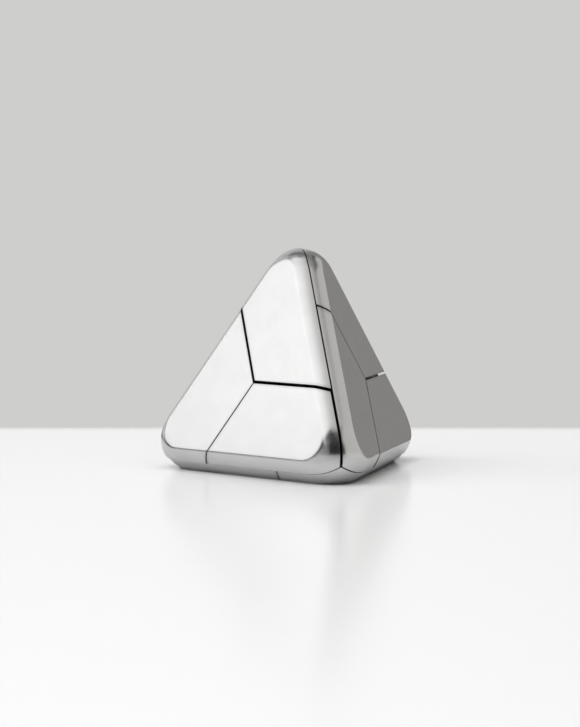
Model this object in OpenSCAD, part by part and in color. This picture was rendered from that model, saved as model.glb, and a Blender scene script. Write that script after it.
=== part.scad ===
// Take-apart pyramid puzzle: twelve equal steel blocks that meet at the centre of a rounded
// regular pyramid, held together by disc magnets set into the faces where the blocks meet.

/* [Pyramid] */
// Edge of the plain pyramid, before its edges and corners are taken down
edge = 88; // [84:1:96]
// Depth taken off each edge, measured square to it
edge_cut = 4.5; // [3.5:0.1:5.5]
// Radius of the crowned band that runs along each edge
crown_r = 9.5; // [8.5:0.1:11]
// Depth taken off each corner, measured from the sharp point
corner_cut = 14.5; // [13:0.1:16]
// Radius of the ball that rounds each corner
corner_r = 8.3; // [7.5:0.1:9]
// Slope of the cone between the corner ball and the rest of the pyramid
corner_slope = 48; // [46:1:52]

/* [Blocks] */
// Gap between the walls of two blocks pushed fully home
seam_gap = 0.16; // [0.1:0.02:0.3]
// Width of the flat broken along the seam edges of each block
edge_break = 0.25; // [0.1:0.05:0.4]
// Length missing from the inner point of each block
inner_cut = 3; // [2:0.5:5]
// How far the front top block sits from its true place, along X, Y and Z
seat_front_top = [0.15, -0.2, 0.4]; // [-0.4:0.05:0.4]
// How far the front left block sits from its true place
seat_front_left = [-0.3, -0.2, -0.2]; // [-0.4:0.05:0.4]
// How far the front near block sits from its true place
seat_front_near = [-0.2, -0.15, -0.15]; // [-0.4:0.05:0.4]
// How far the right top block sits from its true place
seat_right_top = [0.05, 0.05, 0.2]; // [-0.4:0.05:0.4]
// How far the right near block sits from its true place
seat_right_near = [0.05, 0.2, -0.05]; // [-0.4:0.05:0.4]
// How far the right far block sits from its true place
seat_right_far = [0.05, 0.3, -0.2]; // [-0.4:0.05:0.4]

/* [Magnets] */
// Diameter of a disc magnet
magnet_d = 5; // [4:0.5:6]
// Thickness of a disc magnet
magnet_t = 3; // [2:0.5:3]
// Radial room round a magnet in its pocket
pocket_fit = 0.02; // [0.01:0.01:0.05]
// How far a magnet sits below the wall
magnet_recess = 0.15; // [0.1:0.05:0.3]
// Distance from the centre of the pyramid to the magnets next to an edge seam
edge_magnet_reach = 24; // [22:0.5:26]
// Height above the centre of the magnets next to a seam across a face
face_magnet_height = 12; // [11:0.5:13]
// Distance of those magnets from the line through the middle of the face
face_magnet_side = 9.5; // [8.5:0.5:11]

/* [Hidden] */
$fn = 96;
slack = 30;

// A regular pyramid with its centre at the origin: corner 0 at the top, 1 left, 2 near, 3 far
corner_reach = edge * sqrt(6) / 4;
face_reach = edge / (2 * sqrt(6));
edge_reach = edge / (2 * sqrt(2));
corner_azimuths = [210, 330, 90];
corner_out = sqrt(8) / 3;
corner_dirs = concat(
    [[0, 0, 1]],
    [for (a = corner_azimuths) [corner_out * cos(a), corner_out * sin(a), -1 / 3]]
);

// The crowned band, seen along an edge: its axis, and where it runs into the flat face
crown_axis = edge_reach - edge_cut - crown_r;
face_tilt = acos(1 / sqrt(3));
crown_turn = face_tilt - acos((face_reach - crown_axis * cos(face_tilt)) / crown_r);
crown_floor = crown_axis + crown_r * cos(face_tilt);

// The corner: centre of its ball, and the cone that meets the ball a little past corner_lap
corner_lap = 5;
ball_height = corner_reach - corner_cut - corner_r;
cone_meet = corner_slope - corner_lap;
cone_apex = ball_height + corner_r * cos(corner_lap) / cos(corner_slope);
cap_floor = ball_height + corner_r * cos(corner_lap) * cos(corner_slope);

// The pyramid stands on z = 0 with the middle of its box on the origin
front_reach = sin(face_tilt) * (crown_axis + crown_r * cos(crown_turn))
    + cos(face_tilt) * crown_r * sin(crown_turn);
far_reach = ball_height * corner_out + corner_r;
centre = [0, (front_reach - far_reach) / 2, face_reach];

function unit(v) = v / norm(v);
function towards(n, p) = n * p < 0 ? -n : n;

// The first block: at corner 0 of the front face, whose corners are 0, 1 and 2.
// Its outline on the face is half a hexagon: the corner, two points on the edges, the middle.
top_corner = corner_dirs[0] * corner_reach;
left_corner = corner_dirs[1] * corner_reach;
near_corner = corner_dirs[2] * corner_reach;
face_dir = -corner_dirs[3];
face_middle = face_dir * face_reach;
short_end = top_corner + (left_corner - top_corner) / 3;
long_end = top_corner + (near_corner - top_corner) * 2 / 3;
// The centroid of the outline, whose long side is twice its short one, gives the block's middle
long_side_middle = (top_corner + long_end) / 2;
short_side_middle = (face_middle + short_end) / 2;
middle_dir = unit(long_side_middle + (short_side_middle - long_side_middle) * 4 / 9);

// Inward normals of the block's four walls, all through the centre of the pyramid
long_wall = towards(unit(cross(top_corner, near_corner)), middle_dir);
short_wall = towards(unit(cross(top_corner, left_corner)), middle_dir);
short_seam_wall = towards(unit(cross(short_end, face_middle)), middle_dir);
long_seam_wall = towards(unit(cross(long_end, face_middle)), middle_dir);
WALLS = [long_wall, short_wall, short_seam_wall, long_seam_wall];

// Where a magnet sits on each of those walls, in the same order
MAGNET_SPOTS = [
    unit(top_corner * 5 + near_corner) * edge_magnet_reach,
    unit(top_corner * 5 + left_corner) * edge_magnet_reach,
    face_dir * face_magnet_height + unit(short_end - face_middle) * face_magnet_side,
    face_dir * face_magnet_height + unit(long_end - face_middle) * face_magnet_side
];
MAGNET_NAMES = ["long_edge", "short_edge", "short_seam", "long_seam"];

// Every block: name, corner it belongs to, thirds of a turn about that corner, and its seat
BLOCKS = [
    ["front_top", 0, 0, seat_front_top],
    ["right_top", 0, 1, seat_right_top],
    ["rear_top", 0, 2, [0, 0, 0]],
    ["rear_left", 1, 0, [0, 0, 0]],
    ["base_left", 1, 1, [0, 0, 0]],
    ["front_left", 1, 2, seat_front_left],
    ["right_near", 2, 0, seat_right_near],
    ["front_near", 2, 1, seat_front_near],
    ["base_near", 2, 2, [0, 0, 0]],
    ["base_far", 3, 0, [0, 0, 0]],
    ["rear_far", 3, 1, [0, 0, 0]],
    ["right_far", 3, 2, seat_right_far]
];

// Turns +Z to point along v
module aim(v) {
    rotate([0, acos(v.z / norm(v)), atan2(v.y, v.x)]) children();
}

// Sets children on three axes at right angles, given as unit vectors
module on_axes(x, y, z) {
    multmatrix([
        [x.x, y.x, z.x, 0],
        [x.y, y.y, z.y, 0],
        [x.z, y.z, z.z, 0],
        [0, 0, 0, 1]
    ]) children();
}

// All space on the far side of a plane square to v, at the given distance from the centre
module beyond(v, distance) {
    aim(v) translate([-edge, -edge, distance]) cube([2 * edge, 2 * edge, edge + slack]);
}

// What the crowned band removes along the edge from corner a to corner b
module crown_waste(a, b) {
    along = unit(b - a);
    out = unit(a + b);
    on_axes(along, cross(out, along), out) difference() {
        translate([-edge, -crown_r - slack, crown_floor])
            cube([2 * edge, 2 * (crown_r + slack), slack]);
        translate([-edge - 1, 0, crown_axis]) rotate([0, 90, 0])
            cylinder(r = crown_r, h = 2 * edge + 2);
    }
}

// Everything inside the cone that slopes down from the top corner
module corner_cone() {
    depth = cone_apex + slack;
    translate([0, 0, -slack]) cylinder(r1 = depth / tan(corner_slope), r2 = 0, h = depth);
}

// What the corner ball removes from the tip of that cone
module cap_waste() {
    difference() {
        translate([-slack, -slack, cap_floor]) cube([2 * slack, 2 * slack, slack]);
        translate([0, 0, ball_height]) sphere(r = corner_r);
    }
}

// What the small flats remove where the walls meet the outside
module edge_break_waste() {
    depth = (seam_gap / 2 + edge_break) / sqrt(2);
    for (wall = [short_seam_wall, long_seam_wall])
        beyond(unit(face_dir - wall), face_reach / sqrt(2) - depth);
    for (side = [[long_wall, near_corner], [short_wall, left_corner]])
        beyond(unit(unit(top_corner + side[1]) - side[0]), (edge_reach - edge_cut) / sqrt(2) - depth);
}

module pocket(i) {
    translate(MAGNET_SPOTS[i]) aim(WALLS[i]) translate([0, 0, seam_gap / 2 - 1])
        cylinder(r = magnet_d / 2 + pocket_fit, h = magnet_t + magnet_recess + pocket_fit + 1);
}

// The block at corner 0 of the front face
module first_block() {
    difference() {
        intersection() {
            corner_cone();
            beyond(long_wall, seam_gap / 2);
            beyond(short_wall, seam_gap / 2);
            beyond(short_seam_wall, seam_gap / 2);
            beyond(long_seam_wall, seam_gap / 2);
            beyond(middle_dir, inner_cut);
        }
        beyond(face_dir, face_reach);
        crown_waste(corner_dirs[0], corner_dirs[2]);
        crown_waste(corner_dirs[0], corner_dirs[1]);
        cap_waste();
        edge_break_waste();
        for (i = [0:3]) pocket(i);
    }
}

// A disc magnet with its rims broken, in the pocket of wall i of the first block
module first_magnet(i) {
    rim = 0.25;
    radius = magnet_d / 2;
    translate(MAGNET_SPOTS[i]) aim(WALLS[i]) translate([0, 0, seam_gap / 2 + magnet_recess])
        rotate_extrude() polygon([
            [0, 0], [radius - rim, 0], [radius, rim],
            [radius, magnet_t - rim], [radius - rim, magnet_t], [0, magnet_t]
        ]);
}

// Carries the first block, or one of its magnets, to the place of block b: a turn about the
// top corner, then half a turn about the line that swaps the top corner with the block's own
module place(b) {
    swap = b[1] == 0 ? 0 : 180;
    swap_line = b[1] == 0 ? [0, 0, 1] : corner_dirs[0] + corner_dirs[b[1]];
    translate(centre + b[3]) rotate(swap, v = swap_line) rotate([0, 0, 120 * b[2]]) children();
}

module block(b) {
    color("gainsboro") place(b) first_block();
}

module magnet(b, i) {
    color("silver") place(b) first_magnet(i);
}

for (b = BLOCKS) {
    block(b);
    for (i = [0:3]) magnet(b, i);
}
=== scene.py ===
from math import acos, cos, radians, sin, sqrt, tan

import bmesh
import bpy
import numpy as np
from mathutils import Matrix, Vector


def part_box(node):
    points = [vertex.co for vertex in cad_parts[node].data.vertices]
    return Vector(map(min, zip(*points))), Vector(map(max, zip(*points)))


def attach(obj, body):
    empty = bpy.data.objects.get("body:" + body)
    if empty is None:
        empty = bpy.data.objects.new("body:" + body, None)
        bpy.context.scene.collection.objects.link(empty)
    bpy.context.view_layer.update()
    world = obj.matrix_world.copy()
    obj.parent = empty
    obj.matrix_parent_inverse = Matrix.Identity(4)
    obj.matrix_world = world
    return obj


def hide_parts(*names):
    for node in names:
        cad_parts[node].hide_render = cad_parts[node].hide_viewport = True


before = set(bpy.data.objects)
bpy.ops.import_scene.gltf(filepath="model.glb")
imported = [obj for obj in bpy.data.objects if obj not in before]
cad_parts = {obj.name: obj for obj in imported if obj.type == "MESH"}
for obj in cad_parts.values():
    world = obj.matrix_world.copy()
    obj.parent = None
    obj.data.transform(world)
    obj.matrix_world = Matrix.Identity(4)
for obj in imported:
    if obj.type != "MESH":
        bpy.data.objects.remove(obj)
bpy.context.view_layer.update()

MM = 0.001

# ---------------------------------------------------------------------------------------
# The pyramid's driving dimensions, in millimetres, as in the CAD model
# ---------------------------------------------------------------------------------------
EDGE = 88.0
EDGE_CUT = 4.5
CROWN_R = 9.5
CORNER_CUT = 14.5
CORNER_R = 8.3
SEAM_GAP = 0.16
INNER_CUT = 3.0
MAGNET_R = 2.5
MAGNET_T = 3.0
POCKET_FIT = 0.02
MAGNET_RECESS = 0.15
EDGE_MAGNET_REACH = 24.0
FACE_MAGNET_HEIGHT = 12.0
FACE_MAGNET_SIDE = 9.5

# Looks only: how sharply the flat faces turn into the crowned bands (the power of a smooth
# maximum), and how the seam rims are rounded
CREASE_SHARPNESS = 350
RIM_ROUNDING = 0.12
RIM_SEGMENTS = 3
RIM_ANGLE = radians(40)

# The grid over the outside of a block: steps along its long side, from the corner, and up from
# there to its short side. Its lines lie closer together at the crease, given by width and
# strength, and at the rounded corner and the crowned band, given by place, width and strength.
ALONG_STEPS = 84
ALONG_CREASE = (0.03, 5)
ALONG_CORNER = (0.14, 0.16, 3)
UP_STEPS = 56
UP_CREASE = (0.05, 4)
UP_CROWN = (0.1, 0.2, 1.5)
GRADING_SAMPLES = 4001
CREASE_INSET = 1.48  # from the plain edge to the crease, in edge cuts
PARALLEL_SHARE = 0.225  # share of the long side with grid lines parallel to the short wall
RIM_PASSES = 4
TINY = 1e-9

# The cutter of a pocket: how many sides it has, and how far it starts outside the wall
POCKET_SEGMENTS = 72
POCKET_OVERSHOOT = 1

# The seams carry painted shade: the outermost part of each wall is darkened where the gaps fall dark.
# The rim band is the outermost share of each wall. The shade ends at a share of that band, and at a
# distance from the wall in rim roundings, and fades out before each end. Then the colour factor of
# the painted shade, and the roughness there.
RIM_BAND = 0.08
SHADE_DEPTH = 0.8
SHADE_DEPTH_FADE = 0.02
SHADE_REACH = 0.7
SHADE_REACH_FADE = 0.5
SEAM_PAINTED_SHADE = 0.08
SEAM_ROUGHNESS = 0.6

CORNER_REACH = EDGE * sqrt(6) / 4
FACE_REACH = EDGE / (2 * sqrt(6))
EDGE_REACH = EDGE / (2 * sqrt(2))
CROWN_AXIS = EDGE_REACH - EDGE_CUT - CROWN_R
BALL_HEIGHT = CORNER_REACH - CORNER_CUT - CORNER_R
# Past this turn from its middle, the round of an edge or a corner goes on as a straight flank
CROWN_TURN = radians(45)
CORNER_TURN = radians(46)


def unit(v):
    return v / np.linalg.norm(v)


# Directions of the top, left, near and far corners; LOWER_OUT is how far out the lower ones go
LOWER_OUT = sqrt(8) / 3
CORNERS = [np.array([0.0, 0.0, 1.0])]
for azimuth in map(radians, (210, 330, 90)):
    CORNERS.append(np.array([LOWER_OUT * cos(azimuth), LOWER_OUT * sin(azimuth), -1 / 3]))
FACE_DIR = -CORNERS[3]


def pyramid_centre():
    """Centre of the pyramid: it stands on z = 0 with the middle of its box on the origin."""
    tilt = acos(1 / sqrt(3))
    turn = tilt - acos((FACE_REACH - CROWN_AXIS * cos(tilt)) / CROWN_R)
    front = sin(tilt) * (CROWN_AXIS + CROWN_R * cos(turn)) + cos(tilt) * CROWN_R * sin(turn)
    far = BALL_HEIGHT * LOWER_OUT + CORNER_R
    return np.array([0, (front - far) / 2, FACE_REACH])


CENTRE = pyramid_centre()


# ---------------------------------------------------------------------------------------
# The rounded pyramid, as how far each point is towards its surface (1 = on it)
# ---------------------------------------------------------------------------------------
def round_reach(along, across, middle, radius, turn):
    """Share of the way to a round nose with its middle on an axis, and straight flanks past turn."""
    square = along**2 + across**2
    root = middle**2 * along**2 - square * (middle**2 - radius**2)
    scale = (middle * along + np.sqrt(np.maximum(root, 0))) / square
    angle = np.arctan2(across * scale, along * scale - middle)
    flank = (along * cos(turn) + across * sin(turn)) / (middle * cos(turn) + radius)
    return np.where((root > 0) & (angle < turn), 1 / np.maximum(scale, TINY), flank)


def surface_share(points):
    """Smooth maximum over the flat face, the two crowned bands and the rounded corner."""
    shares = [points @ FACE_DIR / FACE_REACH]
    for other in (CORNERS[1], CORNERS[2]):
        out = unit(CORNERS[0] + other)
        side = np.cross(out, unit(other - CORNERS[0]))
        shares.append(
            round_reach(points @ out, np.abs(points @ side), CROWN_AXIS, CROWN_R, CROWN_TURN)
        )
    height = points @ CORNERS[0]
    spread = np.linalg.norm(points - height[:, None] * CORNERS[0], axis=1)
    shares.append(round_reach(height, spread, BALL_HEIGHT, CORNER_R, CORNER_TURN))
    shares = np.maximum(np.stack(shares), TINY)
    top = shares.max(axis=0)
    return top * ((shares / top) ** CREASE_SHARPNESS).sum(axis=0) ** (1 / CREASE_SHARPNESS)


def onto_surface(points):
    return points / surface_share(points)[:, None]


# ---------------------------------------------------------------------------------------
# The first block: the top corner of the front face, around the pyramid's centre
# ---------------------------------------------------------------------------------------
TOP, LEFT, NEAR = (c * CORNER_REACH for c in CORNERS[:3])
MIDDLE = FACE_DIR * FACE_REACH
SHORT_END = TOP + (LEFT - TOP) / 3
LONG_END = TOP + (NEAR - TOP) * 2 / 3
LONG_SIDE_MIDDLE = (TOP + LONG_END) / 2
SHORT_SIDE_MIDDLE = (MIDDLE + SHORT_END) / 2
# The centroid of the outline, whose long side is twice its short one, gives the block's middle
MIDDLE_DIR = unit(LONG_SIDE_MIDDLE + (SHORT_SIDE_MIDDLE - LONG_SIDE_MIDDLE) * 4 / 9)


def wall_normal(a, b):
    """Inward normal of the wall through the centre and the points a and b."""
    n = unit(np.cross(a, b))
    return n if n @ MIDDLE_DIR > 0 else -n


LONG_WALL = wall_normal(TOP, NEAR)
SHORT_WALL = wall_normal(TOP, LEFT)
SHORT_SEAM = wall_normal(SHORT_END, MIDDLE)
LONG_SEAM = wall_normal(LONG_END, MIDDLE)
WALLS = (LONG_WALL, SHORT_WALL, SHORT_SEAM, LONG_SEAM)
MAGNET_NAMES = ("long_edge", "short_edge", "short_seam", "long_seam")
MAGNET_SPOTS = (
    unit(TOP * 5 + NEAR) * EDGE_MAGNET_REACH,
    unit(TOP * 5 + LEFT) * EDGE_MAGNET_REACH,
    FACE_DIR * FACE_MAGNET_HEIGHT + unit(SHORT_END - MIDDLE) * FACE_MAGNET_SIDE,
    FACE_DIR * FACE_MAGNET_HEIGHT + unit(LONG_END - MIDDLE) * FACE_MAGNET_SIDE,
)


def graded(count, peaks):
    """count steps from 0 to 1, closer together round each (place, width, strength)."""
    fine = np.linspace(0, 1, GRADING_SAMPLES)
    density = 1 + sum(s * np.exp(-(((fine - p) / w) ** 2)) for p, w, s in peaks)
    share = np.concatenate([[0], np.cumsum((density[1:] + density[:-1]) / 2)])
    return np.interp(np.linspace(0, 1, count + 1), share / share[-1], fine)


def outer_skin():
    """Grid of points over the outside of the block, from rim to rim."""
    band = EDGE_CUT * CREASE_INSET
    slant = sin(radians(60))
    crease_up = band / (EDGE / 3 * slant)
    crease_along = band / slant / (EDGE * 2 / 3)
    along = graded(ALONG_STEPS, [(crease_along, *ALONG_CREASE), ALONG_CORNER])
    up = graded(UP_STEPS, [(crease_up, *UP_CREASE), UP_CROWN])
    above = np.interp(along, [0, PARALLEL_SHARE, 1], [0, PARALLEL_SHARE * 2, 1])
    long_side = TOP + along[:, None] * (LONG_END - TOP)
    short_side = SHORT_END + above[:, None] * (MIDDLE - SHORT_END)
    grid = long_side[:, None] + up[None, :, None] * (short_side - long_side)[:, None]
    rays = grid.reshape(-1, 3)
    rays /= np.linalg.norm(rays, axis=1)[:, None]
    index = np.arange(len(rays)).reshape(grid.shape[:2])
    rims = [
        (index[1:-1, 0], [LONG_WALL]),
        (index[0, 1:-1], [SHORT_WALL]),
        (index[1:-1, -1], [SHORT_SEAM]),
        (index[-1, 1:-1], [LONG_SEAM]),
        (index[0, :1], [LONG_WALL, SHORT_WALL]),
        (index[0, -1:], [SHORT_WALL, SHORT_SEAM]),
        (index[-1, -1:], [SHORT_SEAM, LONG_SEAM]),
        (index[-1, :1], [LONG_SEAM, LONG_WALL]),
    ]
    points = onto_surface(rays)
    # The rims lie half a gap inside the planes through the centre
    for ids, walls in rims:
        normals = np.array(walls)
        pull = np.linalg.solve(normals @ normals.T, np.full(len(walls), SEAM_GAP / 2)) @ normals
        for _ in range(RIM_PASSES):
            reach = np.linalg.norm(points[ids], axis=1)[:, None]
            points[ids] = onto_surface(rays[ids] * reach + pull)
    return points, index


def plane_point(planes):
    """The point that three planes share, each a normal and its distance from the centre."""
    normals = np.array([n for n, _ in planes])
    return np.linalg.solve(normals, np.array([d for _, d in planes]))


def first_block_mesh():
    """Closed mesh of the block: its skin, four walls with a band of faces each, and its tip."""
    points, index = outer_skin()
    half = SEAM_GAP / 2
    tip_plane = (MIDDLE_DIR, INNER_CUT)
    pairs = zip(WALLS, WALLS[1:] + WALLS[:1])
    tips = [plane_point([(a, half), (b, half), tip_plane]) for a, b in pairs]
    bm = bmesh.new()
    skin = [bm.verts.new(p) for p in points]
    inner = [bm.verts.new(p) for p in tips]
    at = index.tolist()
    for i in range(len(at) - 1):
        for j in range(len(at[0]) - 1):
            corners = (at[i][j], at[i][j + 1], at[i + 1][j + 1], at[i + 1][j])
            bm.faces.new([skin[k] for k in corners])
    rings = {}

    def ring_vertex(k, tip):
        if k not in rings:
            rings[k] = bm.verts.new(points[k] + (tip - points[k]) * RIM_BAND)
        return rings[k]

    rims = (index[::-1, 0], index[0, :], index[:, -1], index[-1, ::-1])
    for after, rim in enumerate(rims):
        before = after - 1
        ids = rim.tolist()
        ends = {ids[0]: tips[before], ids[-1]: tips[after]}
        ring = [ring_vertex(k, ends.get(k, (tips[before] + tips[after]) / 2)) for k in ids]
        for i in range(len(ids) - 1):
            bm.faces.new([skin[ids[i]], skin[ids[i + 1]], ring[i + 1], ring[i]])
        bm.faces.new(ring + [inner[after], inner[before]])
    bm.faces.new(inner)
    bmesh.ops.recalc_face_normals(bm, faces=bm.faces)
    mesh = bpy.data.meshes.new("first_block")
    bm.to_mesh(mesh)
    bm.free()
    return mesh


def pocket_cutter():
    """Four round cutters for the magnet pockets, as one mesh."""
    radius = MAGNET_R + POCKET_FIT
    length = MAGNET_T + MAGNET_RECESS + POCKET_FIT + POCKET_OVERSHOOT
    bm = bmesh.new()
    for spot, wall in zip(MAGNET_SPOTS, WALLS):
        start = spot + wall * (SEAM_GAP / 2 - POCKET_OVERSHOOT)
        turn = Vector(wall).to_track_quat("Z", "Y").to_matrix().to_4x4()
        place = Matrix.Translation(Vector(start + wall * length / 2)) @ turn
        bmesh.ops.create_cone(
            bm, cap_ends=True, segments=POCKET_SEGMENTS, radius1=radius, radius2=radius,
            depth=length, matrix=place,
        )
    mesh = bpy.data.meshes.new("pocket_cutter")
    bm.to_mesh(mesh)
    bm.free()
    return mesh


def evaluated(obj):
    """The object's mesh with its modifiers applied."""
    bpy.context.view_layer.update()
    graph = bpy.context.evaluated_depsgraph_get()
    return bpy.data.meshes.new_from_object(obj.evaluated_get(graph), depsgraph=graph)


def finished_block():
    """The first block with its pockets cut and its rims rounded, in millimetres."""
    block = bpy.data.objects.new("first_block", first_block_mesh())
    cutter = bpy.data.objects.new("pocket_cutter", pocket_cutter())
    for obj in (block, cutter):
        bpy.context.scene.collection.objects.link(obj)
    cut = block.modifiers.new("pockets", "BOOLEAN")
    cut.operation = "DIFFERENCE"
    cut.solver = "EXACT"
    cut.object = cutter
    for poly in block.data.polygons:
        poly.use_smooth = True
    rim = block.modifiers.new("rims", "BEVEL")
    rim.width = RIM_ROUNDING
    rim.segments = RIM_SEGMENTS
    rim.limit_method = "ANGLE"
    rim.angle_limit = RIM_ANGLE
    rim.harden_normals = True
    rim.use_clamp_overlap = True
    mesh = evaluated(block)
    for obj in (block, cutter):
        bpy.data.objects.remove(obj)
    add_painted_seam_shade(mesh)
    return mesh


def add_painted_seam_shade(mesh):
    """Stores how much painted shade darkens the first block at each point: 1 on the outermost part of a
    wall, where the seam gaps fall dark.
    """
    places = np.empty(len(mesh.vertices) * 3)
    mesh.vertices.foreach_get("co", places)
    places = places.reshape(-1, 3)
    inset = (places @ np.array(WALLS).T - SEAM_GAP / 2).min(axis=1)
    near_wall = np.clip((SHADE_REACH - inset / RIM_ROUNDING) / SHADE_REACH_FADE, 0, 1)
    depth = 1 - surface_share(places)
    near_skin = np.clip((RIM_BAND * SHADE_DEPTH - depth) / SHADE_DEPTH_FADE, 0, 1)
    # The seam attribute carries the painted shade of the seam rims
    shade = mesh.attributes.new("seam", "FLOAT", "POINT")
    shade.data.foreach_set("value", near_wall * near_skin)


# ---------------------------------------------------------------------------------------
# Twelve copies, each in its own place
# ---------------------------------------------------------------------------------------
# Name, the corner that it belongs to, and thirds of a turn about that corner
BLOCKS = (
    ("front_top", 0, 0), ("right_top", 0, 1), ("rear_top", 0, 2),
    ("rear_left", 1, 0), ("base_left", 1, 1), ("front_left", 1, 2),
    ("right_near", 2, 0), ("front_near", 2, 1), ("base_near", 2, 2),
    ("base_far", 3, 0), ("rear_far", 3, 1), ("right_far", 3, 2),
)
# Each face, by the corner opposite it
FACES = {"front": 3, "right": 1, "rear": 2, "base": 0}


def block_turn(corner, thirds):
    """A turn about the top corner, then half a turn that swaps that corner with the block's."""
    turn = Matrix.Rotation(radians(120 * thirds), 4, "Z")
    if corner:
        turn = Matrix.Rotation(radians(180), 4, Vector(CORNERS[0] + CORNERS[corner])) @ turn
    return turn


def add_grain(mesh, face):
    """Stores where each point is on its own face, so that the grain runs one way over the face."""
    normal = Vector(-CORNERS[FACES[face]])
    up = Vector((0, 0, 1)) if face != "base" else Vector((0, 1, 0))
    up = (up - normal * up.dot(normal)).normalized()
    across = up.cross(normal)
    axes = np.array([across, up, normal])
    places = np.empty(len(mesh.vertices) * 3)
    mesh.vertices.foreach_get("co", places)
    local = (places.reshape(-1, 3) / MM - CENTRE) @ axes.T
    grain = mesh.attributes.new("grain", "FLOAT_VECTOR", "POINT")
    grain.data.foreach_set("vector", local.ravel())


def seat(name, place):
    """How far the CAD has a block from its true place, in millimetres, as its magnets show."""
    shift = Vector()
    for magnet, spot, wall in zip(MAGNET_NAMES, MAGNET_SPOTS, WALLS):
        true_place = place @ Vector(spot + wall * (SEAM_GAP / 2 + MAGNET_RECESS + MAGNET_T / 2))
        low, high = map(Vector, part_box(f"{name}_magnet_{magnet}"))
        shift += (low + high) / 2 / MM - true_place
    return shift / len(MAGNET_NAMES)


def build_blocks(material):
    """The twelve blocks: copies of the first one, turned, seated and scaled to metres."""
    first = finished_block()
    for name, corner, thirds in BLOCKS:
        mesh = first.copy()
        place = Matrix.Translation(Vector(CENTRE)) @ block_turn(corner, thirds)
        mesh.transform(Matrix.Translation(seat(name, place)) @ place)
        mesh.transform(Matrix.Scale(MM, 4))
        add_grain(mesh, name.split("_")[0])
        mesh.materials.clear()
        mesh.materials.append(material)
        piece = bpy.data.objects.new(name + "_steel", mesh)
        bpy.context.scene.collection.objects.link(piece)
        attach(piece, name + "_body")
        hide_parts(name + "_block")
    bpy.data.meshes.remove(first)


# ---------------------------------------------------------------------------------------
# Materials
# ---------------------------------------------------------------------------------------
# The colour sockets of a Mix node
FIRST_COLOUR, SECOND_COLOUR, MIXED_COLOUR = 6, 7, 2


def plug(tree, socket, value):
    """Sets a socket to a value, or links it to the output of another node."""
    if isinstance(value, bpy.types.NodeSocket):
        tree.links.new(value, socket)
    else:
        socket.default_value = value


def node(tree, kind, links=None, **values):
    """Adds a node. A value goes to the node's own setting of that name, or else to its socket."""
    n = tree.nodes.new(kind)
    for key, value in values.items():
        if hasattr(n, key):
            setattr(n, key, value)
        else:
            n.inputs[key.replace("_", " ")].default_value = value
    for key, source in (links or {}).items():
        tree.links.new(source, n.inputs[key])
    return n


def math_node(tree, operation, first, second):
    n = node(tree, "ShaderNodeMath", operation=operation)
    plug(tree, n.inputs[0], first)
    plug(tree, n.inputs[1], second)
    return n.outputs[0]


def colour_mix(tree, factor, first, second, blend="MIX"):
    n = node(tree, "ShaderNodeMix", data_type="RGBA", blend_type=blend)
    plug(tree, n.inputs["Factor"], factor)
    plug(tree, n.inputs[FIRST_COLOUR], first)
    plug(tree, n.inputs[SECOND_COLOUR], second)
    return n.outputs[MIXED_COLOUR]


def new_material(name, shader_values):
    """Starts a material, with the values that are the same all over set on the shader itself."""
    material = bpy.data.materials.new(name)
    material.use_nodes = True
    shader = material.node_tree.nodes["Principled BSDF"]
    for key, value in shader_values.items():
        shader.inputs[key].default_value = value
    return material, material.node_tree, shader


def steel():
    """Satin steel: fine grain up each face, faint clouds from handling, a few dark specks, and painted
    shade on the outer rims of the seam walls.
    """
    material, tree, shader = new_material("satin_steel", {"Metallic": 1.0})
    place = node(tree, "ShaderNodeAttribute", attribute_name="grain").outputs["Vector"]
    stretch = node(tree, "ShaderNodeMapping", {"Vector": place}, Scale=(1.0, 0.15, 1.0))
    streaks = node(
        tree, "ShaderNodeTexNoise", {"Vector": stretch.outputs[0]}, Scale=3.0, Detail=3.0, Roughness=0.6
    ).outputs[0]
    clouds = node(
        tree, "ShaderNodeTexNoise", {"Vector": place}, Scale=0.16, Detail=5.0, Roughness=0.6
    ).outputs[0]
    spots = node(tree, "ShaderNodeTexVoronoi", {"Vector": place}, Scale=0.09)
    speck = node(
        tree, "ShaderNodeMapRange", {"Value": spots.outputs["Distance"]},
        From_Min=0.011, From_Max=0.022, To_Min=0.45, To_Max=1.0,
    ).outputs[0]
    satin = node(
        tree, "ShaderNodeMapRange", {"Value": streaks},
        From_Min=0.3, From_Max=0.7, To_Min=0.18, To_Max=0.22,
    ).outputs[0]
    bump = node(tree, "ShaderNodeBump", {"Height": streaks}, Strength=0.03, Distance=0.0001)
    blend = math_node(tree, "MULTIPLY", math_node(tree, "ADD", streaks, clouds), 0.5)
    tint = colour_mix(tree, blend, (0.453, 0.453, 0.4515, 1), (0.587, 0.587, 0.5855, 1))
    speckled = colour_mix(tree, 1.0, tint, speck, "MULTIPLY")
    # Painted shade: the seam attribute darkens the outer rims of the seam walls, where the gaps fall
    # dark, and makes them rougher
    seam = node(tree, "ShaderNodeAttribute", attribute_name="seam").outputs["Fac"]
    shade = node(tree, "ShaderNodeMapRange", {"Value": seam}, To_Min=1.0, To_Max=SEAM_PAINTED_SHADE)
    colour = colour_mix(tree, 1.0, speckled, shade.outputs[0], "MULTIPLY")
    dull = math_node(tree, "MULTIPLY", seam, SEAM_ROUGHNESS)
    tree.links.new(colour, shader.inputs["Base Color"])
    tree.links.new(math_node(tree, "MAXIMUM", satin, dull), shader.inputs["Roughness"])
    tree.links.new(bump.outputs[0], shader.inputs["Normal"])
    return material


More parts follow.
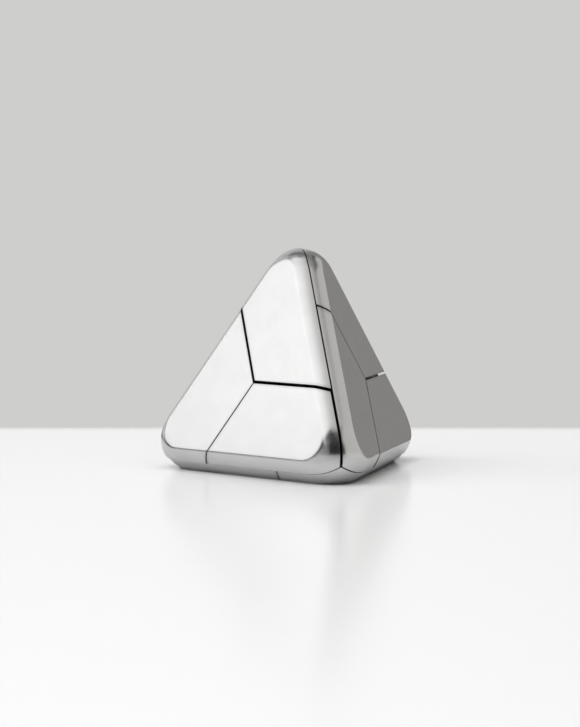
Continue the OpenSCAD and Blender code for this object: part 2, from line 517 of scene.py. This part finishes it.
def nickel():
    """Bright nickel plate, a little cloudy."""
    values = {"Metallic": 1.0, "Base Color": (0.74, 0.71, 0.66, 1)}
    material, tree, shader = new_material("nickel_plate", values)
    place = node(tree, "ShaderNodeTexCoord").outputs["Object"]
    clouds = node(tree, "ShaderNodeTexNoise", {"Vector": place}, Scale=900.0, Detail=4.0).outputs[0]
    rough = node(
        tree, "ShaderNodeMapRange", {"Value": clouds},
        From_Min=0.3, From_Max=0.7, To_Min=0.12, To_Max=0.22,
    )
    bump = node(tree, "ShaderNodeBump", {"Height": clouds}, Strength=0.05, Distance=0.0001)
    tree.links.new(rough.outputs[0], shader.inputs["Roughness"])
    tree.links.new(bump.outputs[0], shader.inputs["Normal"])
    return material


def gloss_white():
    """The table's lacquer, a little darker where the fade attribute is 1."""
    values = {"Roughness": 0.18, "Specular IOR Level": 0.3}
    material, tree, shader = new_material("gloss_white", values)
    fade = node(tree, "ShaderNodeAttribute", attribute_name="fade").outputs["Fac"]
    colour = colour_mix(tree, fade, (0.7, 0.7, 0.7, 1), (0.48, 0.48, 0.472, 1))
    tree.links.new(colour, shader.inputs["Base Color"])
    return material


# ---------------------------------------------------------------------------------------
# Camera, table and light
# ---------------------------------------------------------------------------------------
# The camera heads VIEW_AZIMUTH to the left of +Y and looks down by VIEW_DIP. Its place is in
# edges of the plain pyramid, and VIEW_HEIGHT is the angle that the picture spans upwards.
VIEW_AZIMUTH = radians(45.16)
VIEW_DIP = radians(4.43)
VIEW_ROLL = radians(-0.407)
CAMERA_AT = Vector((5.888, -5.984, 0.9616)) * EDGE * MM
VIEW_HEIGHT = radians(14.59)
# Lengths of the table in metres; TABLE_END is from under the camera to the table's rear edge
TABLE_END = 9.62 * EDGE * MM
TABLE_SKEW = radians(-4.0)
TABLE_WIDTH = 3.0
TABLE_DEPTH = 2.5
TABLE_THICKNESS = 0.03
TABLE_ROUND = 0.002
TABLE_FADE = 0.012


def add_camera():
    data = bpy.data.cameras.new("camera")
    data.lens = data.sensor_width / 2 / tan(VIEW_HEIGHT / 2)
    camera = bpy.data.objects.new("camera", data)
    turn = (
        Matrix.Rotation(VIEW_AZIMUTH, 4, "Z")
        @ Matrix.Rotation(radians(90) - VIEW_DIP, 4, "X")
        @ Matrix.Rotation(VIEW_ROLL, 4, "Z")
    )
    camera.matrix_world = Matrix.Translation(CAMERA_AT) @ turn
    bpy.context.scene.collection.objects.link(camera)
    bpy.context.scene.camera = camera


def stage_mesh(name, corners, material, faces):
    mesh = bpy.data.meshes.new(name)
    mesh.from_pydata([tuple(c) for c in corners], [], faces)
    mesh.materials.append(material)
    obj = bpy.data.objects.new(name, mesh)
    bpy.context.scene.collection.objects.link(obj)
    return obj


def add_table():
    """A white table top that ends a little behind the pyramid, with a soft rounded rear edge."""
    heading = VIEW_AZIMUTH + TABLE_SKEW
    back = Vector((-sin(VIEW_AZIMUTH), cos(VIEW_AZIMUTH), 0))
    side = Vector((cos(heading), sin(heading), 0)) * TABLE_WIDTH / 2
    rear_edge = CAMERA_AT.xy.to_3d() + back * TABLE_END
    quarter = [radians(a) for a in range(0, 91, 15)]
    outline = [(-TABLE_DEPTH, 0), (-TABLE_FADE, 0)]
    outline += [(TABLE_ROUND * (sin(a) - 1), TABLE_ROUND * (cos(a) - 1)) for a in quarter]
    outline += [(0, -TABLE_THICKNESS), (-TABLE_DEPTH, -TABLE_THICKNESS)]
    middles = [rear_edge + back * along + Vector((0, 0, up)) for along, up in outline]
    corners = [m - side for m in middles] + [m + side for m in middles]
    count = len(outline)
    faces = [(i, i + 1, i + 1 + count, i + count) for i in range(count - 1)]
    fade = [0, 0] + [1] * (count - 3) + [0]
    table = stage_mesh("table", corners, gloss_white(), faces)
    shade = table.data.attributes.new("fade", "FLOAT", "POINT")
    shade.data.foreach_set("value", fade * 2)


def towards(right, up, distance):
    """A place seen from the pyramid, in degrees right of the camera's heading and degrees up."""
    heading, rise = VIEW_AZIMUTH - radians(right), radians(up)
    flat = Vector((-sin(heading), cos(heading), 0))
    return (flat * cos(rise) + Vector((0, 0, sin(rise)))) * distance + Vector((0, 0, FACE_REACH * MM))


def glowing():
    """Light whose colour and strength are stored at the corners of each panel."""
    material = bpy.data.materials.new("panel_light")
    material.use_nodes = True
    tree = material.node_tree
    tree.nodes.clear()
    stored = node(tree, "ShaderNodeAttribute", attribute_name="glow")
    glow = node(tree, "ShaderNodeEmission", {"Color": stored.outputs["Color"]}, Strength=1.0)
    node(tree, "ShaderNodeOutputMaterial", {"Surface": glow.outputs[0]})
    return material


def add_panel(name, material, corners, tint=(1, 1, 1), scale=1.0):
    """A soft light panel: each corner is degrees right, degrees up, metres away, and its glow."""
    last = len(corners) - 1
    fan = [(0, i, i % last + 1) for i in range(1, last + 1)]
    panel = stage_mesh(name, [towards(*c[:3]) for c in corners], material, fan)
    glow = panel.data.attributes.new("glow", "FLOAT_COLOR", "POINT")
    for spot, corner in zip(glow.data, corners):
        spot.color = [part * corner[3] * scale for part in tint] + [1]
    panel.visible_camera = False
    panel.visible_shadow = False
    return panel


# The first corner of each panel is a place inside it, from which it is filled as a fan
KEY_PANEL = (
    (-120, 58, 1.3, 1.42),
    (-78, 10.5, 0.77, 1.52), (-97, 20, 0.8, 1.56), (-106, 25, 0.86, 1.42), (-122, 28, 1.0, 1.38),
    (-160, 32, 1.5, 1.38), (-169, 44, 1.9, 1.36), (178, 56, 2.4, 1.18), (165, 61, 2.9, 1.03),
    (148, 66, 2.9, 0.75), (103, 80, 1.8, 0.88),
)
FILL_PANEL = (
    (175, 70, 3.0, 1),
    (-60, 50, 4, 1.5), (60, 50, 4, 0.85), (125, 32, 4, 0.85), (175, 26, 4, 0.9), (-130, 27, 4, 1.5),
)
WHITE = (1, 1, 1)
WARM = (1, 0.975, 0.945)
WARM_WHITE = (1, 0.97, 0.95)
# Panels that are only mirrored, each with its tint and its corners
CARDS = {
    "right_wall": (WARM, (
        (85, 25, 2.2, 0.66),
        (38, -1, 2.2, 0.66), (38, 45, 2.9, 0.66), (90, 56, 3.0, 0.66), (138, 47, 2.9, 0.66),
        (138, -1, 2.2, 0.66),
    )),
    "right_ceiling": (WARM, (
        (130, 64, 2.9, 0.75),
        (165, 61, 2.9, 1.0), (148, 66, 2.9, 0.75), (103, 80, 1.8, 0.8), (100, 60, 2.9, 0.5),
        (112, 54, 2.9, 0.5), (138, 53, 2.9, 0.6), (150, 58, 2.9, 0.6),
    )),
    "right_gap": (WARM, (
        (150, 50, 2.9, 0.3),
        (138, 53, 2.9, 0.5), (150, 58, 2.9, 0.6), (165, 61, 2.9, 0.8), (172, 54, 2.9, 0.3),
        (158, 48, 2.9, 0.1), (138, 47, 2.9, 0.3),
    )),
    "top_back": (WHITE, (
        (-30, 66, 1.85, 0.12),
        (-64, 53, 1.7, 0.6), (-30, 57, 1.7, 0.2), (0, 54, 1.7, 0.4), (28, 54, 1.7, 0.32),
        (60, 58, 1.8, 0.26), (80, 60, 1.9, 0.27), (103, 62, 2.0, 0.45), (103, 82, 1.9, 0.7),
        (0, 82, 1.9, 0.62), (-75, 76, 1.8, 0.7),
    )),
    "gap_wall": (WARM_WHITE, (
        (25, 30, 1.7, 0.28),
        (12, -1, 1.7, 0.25), (12, 56, 1.7, 0.32), (38, 56, 1.7, 0.32), (38, -1, 1.7, 0.25),
    )),
    "backdrop": (WHITE, (
        (-14, 25, 1.7, 0.62),
        (-40, -1, 1.7, 0.52), (-40, 52, 1.7, 0.55), (12, 52, 1.7, 0.45), (12, -1, 1.7, 0.52),
    )),
    "left_back": (WHITE, (
        (-55, 30, 1.7, 0.8),
        (-71, 2, 1.7, 0.9), (-69, 56, 1.7, 0.8), (-40, 56, 1.7, 0.4), (-40, 2, 1.7, 0.9),
    )),
    "left_low": (WHITE, (
        (-125, 5, 1.4, 0.5),
        (-172, -1, 1.6, 0.25), (-170, 29, 1.6, 0.15), (-156, 28, 1.6, 0.35),
        (-140, 20, 1.6, 0.28), (-120, 17, 1.4, 0.2), (-100, 13, 1.2, 0.38), (-86, 11, 1.2, 0.5),
        (-86, -1, 1.2, 0.6),
    )),
}
# How strong the light is: the key panel and the cards, the two panels that aren't mirrored, and
# the room; and the colour that the camera sees behind the table
KEY = 1.27
FLOOD = 1.92
FILL = 2.0
ROOM = 0.03
BACKGROUND = (0.617, 0.617, 0.604, 1)


def add_world():
    """A plain grey for the camera behind the table, and a faint light for everything else."""
    world = bpy.data.worlds.new("studio")
    bpy.context.scene.world = world
    world.use_nodes = True
    tree = world.node_tree
    seen = tree.nodes["Background"]
    seen.inputs["Color"].default_value = BACKGROUND
    room = node(tree, "ShaderNodeBackground", Color=(1, 1, 1, 1), Strength=ROOM)
    path = node(tree, "ShaderNodeLightPath")
    parts = {0: path.outputs["Is Camera Ray"], 1: room.outputs[0], 2: seen.outputs[0]}
    mix = node(tree, "ShaderNodeMixShader", parts)
    tree.links.new(mix.outputs[0], tree.nodes["World Output"].inputs["Surface"])


def add_panels():
    light = glowing()
    add_panel("key_panel", light, KEY_PANEL, scale=KEY)
    flood = add_panel("flood_panel", light, KEY_PANEL, scale=FLOOD)
    fill = add_panel("fill_panel", light, FILL_PANEL, scale=FILL)
    for panel in (flood, fill):
        panel.visible_glossy = False
    for name, (tint, corners) in CARDS.items():
        card = add_panel(name, light, corners, tint, KEY)
        card.visible_diffuse = False


add_world()
add_panels()
add_camera()
add_table()
bpy.context.scene.view_settings.view_transform = "Standard"
build_blocks(steel())
nickel_material = nickel()
for name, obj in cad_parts.items():
    if "_magnet_" in name:
        obj.data.materials.clear()
        obj.data.materials.append(nickel_material)
